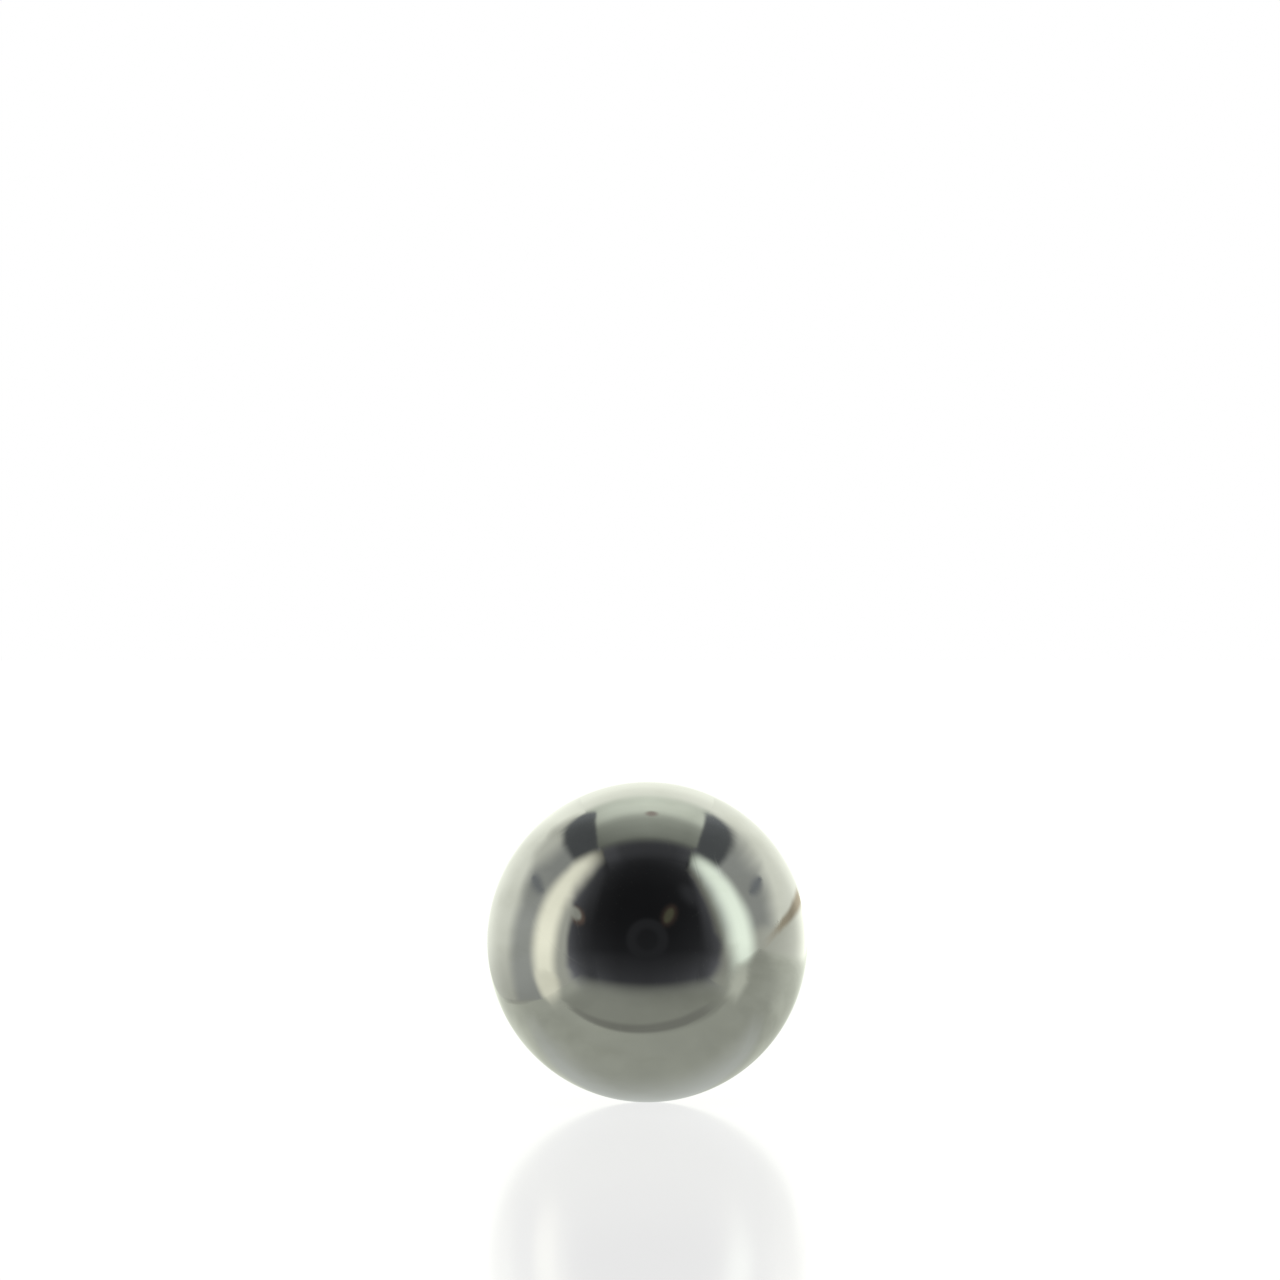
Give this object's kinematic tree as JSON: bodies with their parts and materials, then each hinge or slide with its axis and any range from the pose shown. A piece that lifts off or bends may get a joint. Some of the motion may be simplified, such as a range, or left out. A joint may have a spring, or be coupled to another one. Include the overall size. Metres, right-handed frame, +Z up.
{
  "type": "steel ball",
  "caption": "Solid steel ball, ground and polished to a mirror finish, for bearings, detents, valves and bench use.",
  "frame": {"origin": "centre of the ball", "axes": "+Z up, away from the seat; the ball is the same about every line through its centre"},
  "size_m": [0.0126, 0.0126, 0.0126],
  "materials": {
    "polished_steel": "lapped to a mirror polish, with faint hairlines and a thin film of handling marks"
  },
  "bodies": {
    "root": {"ball": "polished_steel"}
  },
  "joints": []
}
